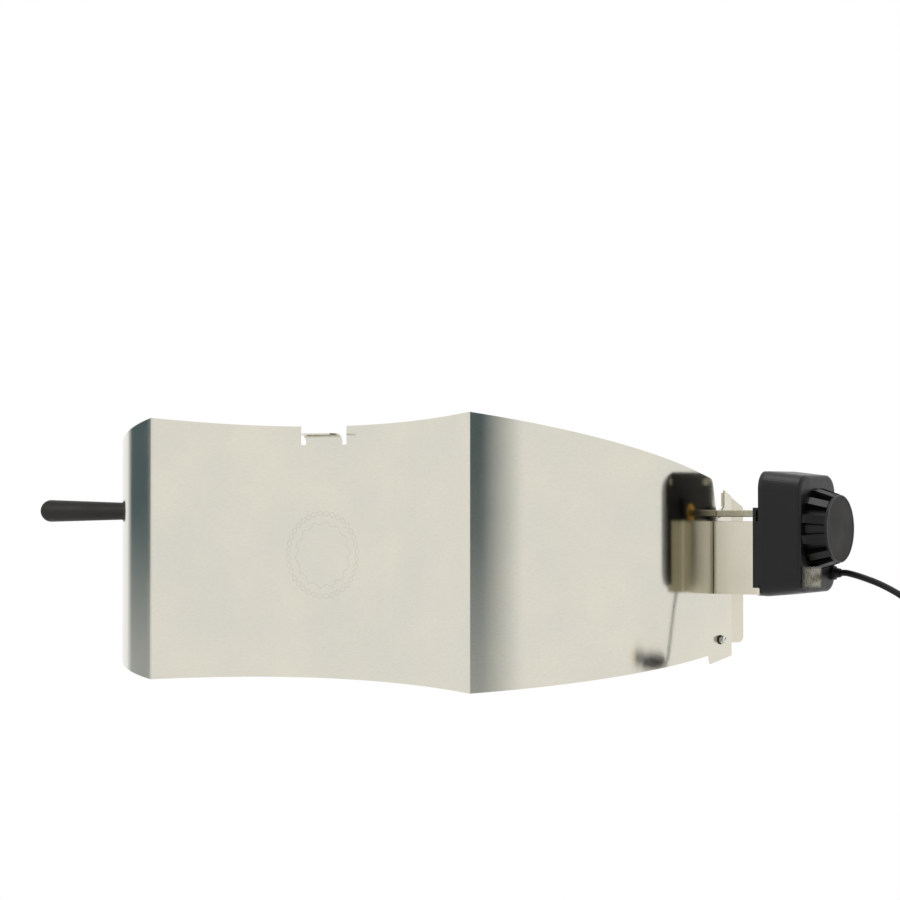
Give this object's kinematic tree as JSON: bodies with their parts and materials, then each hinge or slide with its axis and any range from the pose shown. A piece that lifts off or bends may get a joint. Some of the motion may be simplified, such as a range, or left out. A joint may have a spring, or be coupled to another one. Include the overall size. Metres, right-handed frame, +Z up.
{
  "type": "rotisserie spit",
  "caption": "Rotisserie spit: bowed stainless heat shield with end notches, square spit bar with black handle and two forks, and a black geared motor on a folded bracket.",
  "frame": {"origin": "centre of the object's box in plan without its cord, on the surface it stands on", "axes": "+X along the spit towards the motor, +Y from the shield's face to the spit, +Z up"},
  "size_m": [1.2025, 0.2516, 0.255],
  "materials": {
    "stainless_sheet": "fine brushed, semi-gloss",
    "stainless_plate": "fine brushed",
    "steel_fittings": "turned and drawn",
    "chrome": "polished",
    "black_washer": "blackened",
    "black_plastic": "fine moulded texture, satin",
    "black_disc": "matt print",
    "clear_silicone": "clear, glossy",
    "rocker_plastic": "gloss",
    "black_handle": "matt",
    "zinc_plate": "zinc plated",
    "brass": "turned",
    "gear_plastic": "moulded",
    "copper_wire": "enamelled",
    "magnet": "sintered",
    "cord_rubber": "satin"
  },
  "bodies": {
    "frame": {"heat_shield": "stainless_sheet", "left_end_plate": "stainless_plate", "right_end_plate": "stainless_plate", "motor_bracket": "stainless_plate", "end_bolts": "steel_fittings", "end_washers": "black_washer", "cap_nuts": "chrome", "cord_lead": "cord_rubber", "cord_coil": "cord_rubber", "coil_tie": "black_plastic", "cord_tail": "cord_rubber", "plug_body": "black_plastic", "plug_pins": "brass"},
    "motor": {"motor_back_cover": "black_plastic", "motor_housing": "black_plastic", "boss_disc": "black_disc", "housing_screws": "steel_fittings", "rear_gear_plate": "zinc_plate", "front_gear_plate": "zinc_plate", "plate_pillars": "steel_fittings", "gear_axles": "steel_fittings", "drive_bush": "brass", "rotor_bushes": "brass", "stator_cup": "zinc_plate", "stator_coil": "copper_wire", "switch_body": "black_plastic", "switch_boot": "clear_silicone", "cord_gland": "cord_rubber"},
    "drive": {"drive_gear": "brass"},
    "second_idler": {"second_gear": "gear_plastic"},
    "first_idler": {"first_gear": "gear_plastic"},
    "rotor": {"rotor": "magnet"},
    "spit": {"spit_rod": "steel_fittings", "spit_handle": "black_handle", "handle_ferrule": "steel_fittings"},
    "left_fork": {"left_fork": "chrome"},
    "left_screw": {"left_fork_screw": "chrome"},
    "right_fork": {"right_fork": "chrome"},
    "right_screw": {"right_fork_screw": "chrome"},
    "rocker": {"switch_rocker": "rocker_plastic"}
  },
  "joints": [
    {"name": "motor_lift", "type": "slide", "parent": "frame", "child": "motor", "axis": [0, 0, 1], "range_m": [0, 0.066]},
    {"name": "drive_spin", "type": "hinge", "parent": "motor", "child": "drive", "pos_m": [0.42045, 0.08177, 0.1623], "axis": [1, 0, 0], "continuous": true},
    {"name": "second_spin", "type": "hinge", "parent": "motor", "child": "second_idler", "pos_m": [0.42545, 0.09048, 0.13994], "axis": [1, 0, 0], "continuous": true},
    {"name": "first_spin", "type": "hinge", "parent": "motor", "child": "first_idler", "pos_m": [0.43045, 0.06977, 0.12782], "axis": [1, 0, 0], "continuous": true},
    {"name": "rotor_spin", "type": "hinge", "parent": "motor", "child": "rotor", "pos_m": [0.45045, 0.08177, 0.1486], "axis": [1, 0, 0], "continuous": true},
    {"name": "spit_pull", "type": "slide", "parent": "drive", "child": "spit", "axis": [-1, 0, 0], "range_m": [0, 0.024]},
    {"name": "left_fork_slide", "type": "slide", "parent": "spit", "child": "left_fork", "axis": [1, 0, 0], "range_m": [-0.15, 0.028]},
    {"name": "left_screw_turn", "type": "hinge", "parent": "left_fork", "child": "left_screw", "pos_m": [-0.10955, 0.08177, 0.1623], "axis": [0, 0, 1], "range_deg": [0, 360]},
    {"name": "right_fork_slide", "type": "slide", "parent": "spit", "child": "right_fork", "axis": [1, 0, 0], "range_m": [-0.028, 0.15]},
    {"name": "right_screw_turn", "type": "hinge", "parent": "right_fork", "child": "right_screw", "pos_m": [0.15045, 0.08177, 0.1623], "axis": [0, 0, 1], "range_deg": [0, 360]},
    {"name": "rocker_tilt", "type": "hinge", "parent": "motor", "child": "rocker", "pos_m": [0.45355, 0.05747, 0.1045], "axis": [0, 0, 1], "range_deg": [0, 12]}
  ],
  "couplings": [
    {"joint": "second_spin", "follows": "drive_spin", "ratio": -4},
    {"joint": "first_spin", "follows": "drive_spin", "ratio": 16},
    {"joint": "rotor_spin", "follows": "drive_spin", "ratio": -64}
  ]
}
